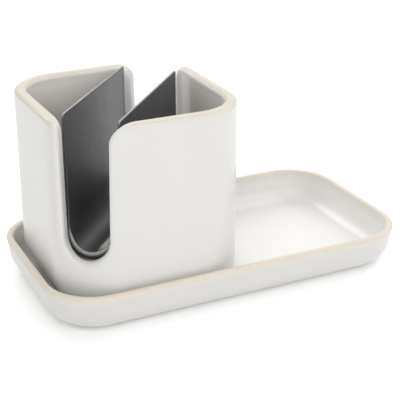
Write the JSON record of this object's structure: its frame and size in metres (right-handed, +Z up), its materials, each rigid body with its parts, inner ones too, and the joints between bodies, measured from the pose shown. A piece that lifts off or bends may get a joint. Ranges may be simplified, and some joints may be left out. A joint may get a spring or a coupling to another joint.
{
  "type": "ceramic sink caddy",
  "caption": "Glazed ceramic sink caddy: a shallow bare-rimmed tray, a square holder with U slots through opposite corners, and a thin grey channel that grips a sponge between its plates.",
  "frame": {"origin": "middle of the tray's underside, on the counter", "axes": "+X along the tray's length, from the holder toward the open soap bay; +Z up"},
  "size_m": [0.24, 0.13, 0.1237],
  "materials": {
    "tray_glaze": "white glaze, bare tan clay along the rim",
    "holder_glaze": "white glaze, bare tan clay along the rim",
    "channel_sheet": "satin dark grey, light at the cut edges"
  },
  "bodies": {
    "tray": {"soap_tray": "tray_glaze"},
    "holder": {"utensil_holder": "holder_glaze"},
    "channel": {"sponge_channel": "channel_sheet"}
  },
  "joints": [
    {"name": "holder_lift", "type": "slide", "parent": "tray", "child": "holder", "axis": [0, 0, 1], "range_m": [0, 0.06]},
    {"name": "channel_lift", "type": "slide", "parent": "holder", "child": "channel", "axis": [0, 0, 1], "range_m": [0, 0.095]}
  ]
}
